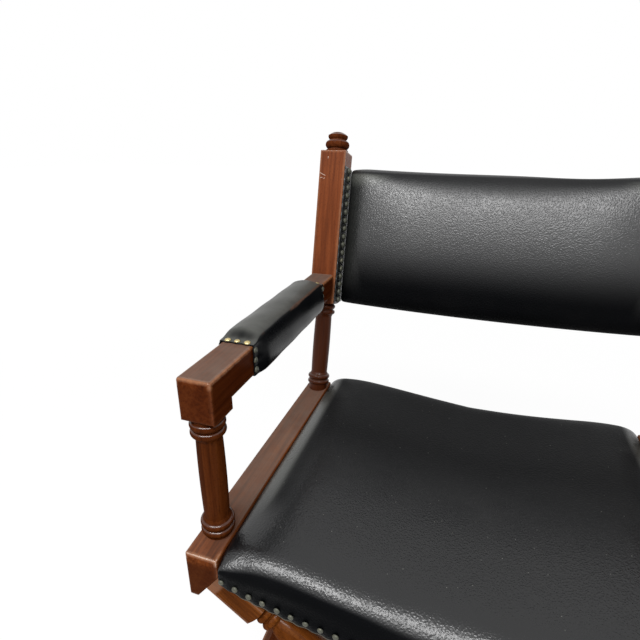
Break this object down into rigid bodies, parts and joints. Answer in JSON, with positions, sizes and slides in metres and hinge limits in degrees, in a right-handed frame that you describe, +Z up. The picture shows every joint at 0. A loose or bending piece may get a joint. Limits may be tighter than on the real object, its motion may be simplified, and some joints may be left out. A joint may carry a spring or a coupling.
{
  "type": "folding armchair",
  "caption": "Folding director's armchair: turned wood side frames on crossed legs, padded black leather sling seat, back and arm pads edged with domed nails.",
  "frame": {"origin": "on the floor, under the middle of the open chair's bounding box", "axes": "+Z up, -Y the way the sitter faces, +X to the sitter's left"},
  "size_m": [0.6188, 0.5354, 0.9174],
  "materials": {
    "mahogany": "satin varnish",
    "leather": "glossy",
    "padded_leather": "glossy leather over stuffing",
    "nail_brass": "patinated",
    "pivot_steel": "dull",
    "glide_rubber": "matt"
  },
  "bodies": {
    "left_runner": {"runner_left": "mahogany", "runner_pins_left": "pivot_steel", "runner_plugs_left": "mahogany", "runner_glides_left": "glide_rubber"},
    "right_runner": {"runner_right": "mahogany", "runner_pins_right": "pivot_steel", "runner_plugs_right": "mahogany", "runner_glides_right": "glide_rubber"},
    "legs_a": {"front_leg_a": "mahogany", "rear_leg_a": "mahogany", "leg_a_tangs": "pivot_steel", "leg_a_rivets": "pivot_steel", "front_pivot_bolt": "pivot_steel", "rear_pivot_bolt": "pivot_steel", "pivot_nuts": "pivot_steel", "pivot_washers": "pivot_steel"},
    "legs_b": {"front_leg_b": "mahogany", "rear_leg_b": "mahogany", "leg_b_tangs": "pivot_steel", "leg_b_rivets": "pivot_steel"},
    "left_frame": {"seat_rail_left": "mahogany", "rail_pins_left": "pivot_steel", "rail_plugs_left": "mahogany", "front_post_left": "mahogany", "back_stile_left": "mahogany", "finial_left": "mahogany", "arm_left": "mahogany", "arm_dowel_left": "mahogany", "arm_pad_left": "leather", "arm_pad_nails_left": "nail_brass", "back_strip_left": "leather", "back_nails_left": "nail_brass", "seat_hem_left": "leather", "seat_cushion": "padded_leather", "back_cushion": "padded_leather", "seat_front_border": "leather", "seat_rear_border": "leather", "seat_front_nails": "nail_brass", "seat_rear_nails": "nail_brass"},
    "right_frame": {"seat_rail_right": "mahogany", "rail_pins_right": "pivot_steel", "rail_plugs_right": "mahogany", "front_post_right": "mahogany", "back_stile_right": "mahogany", "finial_right": "mahogany", "arm_right": "mahogany", "arm_dowel_right": "mahogany", "arm_pad_right": "leather", "arm_pad_nails_right": "nail_brass", "back_strip_right": "leather", "back_nails_right": "nail_brass", "seat_hem_right": "leather"}
  },
  "joints": [
    {"name": "fold", "type": "hinge", "parent": "left_runner", "child": "legs_b", "pos_m": [-0.28554, -0.04675, 0.05394], "axis": [0, -1, 0], "range_deg": [0, 43], "deforming": ["seat_cushion", "back_cushion", "seat_front_border", "seat_rear_border", "seat_front_nails", "seat_rear_nails"]},
    {"name": "crossing", "type": "hinge", "parent": "legs_b", "child": "legs_a", "pos_m": [0, -0.04675, 0.2365], "axis": [0, 1, 0], "range_deg": [0, 86]},
    {"name": "right_rail_pivot", "type": "hinge", "parent": "legs_b", "child": "right_frame", "pos_m": [0.28554, -0.04675, 0.41906], "axis": [0, 1, 0], "range_deg": [0, 43]},
    {"name": "left_rail_pivot", "type": "hinge", "parent": "legs_a", "child": "left_frame", "pos_m": [-0.28554, -0.04675, 0.41906], "axis": [0, -1, 0], "range_deg": [0, 43]},
    {"name": "right_runner_pivot", "type": "hinge", "parent": "legs_a", "child": "right_runner", "pos_m": [0.28554, -0.04675, 0.05394], "axis": [0, -1, 0], "range_deg": [0, 43]}
  ],
  "couplings": [
    {"joint": "crossing", "follows": "fold", "ratio": 2},
    {"joint": "right_rail_pivot", "follows": "fold", "ratio": 1},
    {"joint": "left_rail_pivot", "follows": "fold", "ratio": 1},
    {"joint": "right_runner_pivot", "follows": "fold", "ratio": 1}
  ]
}
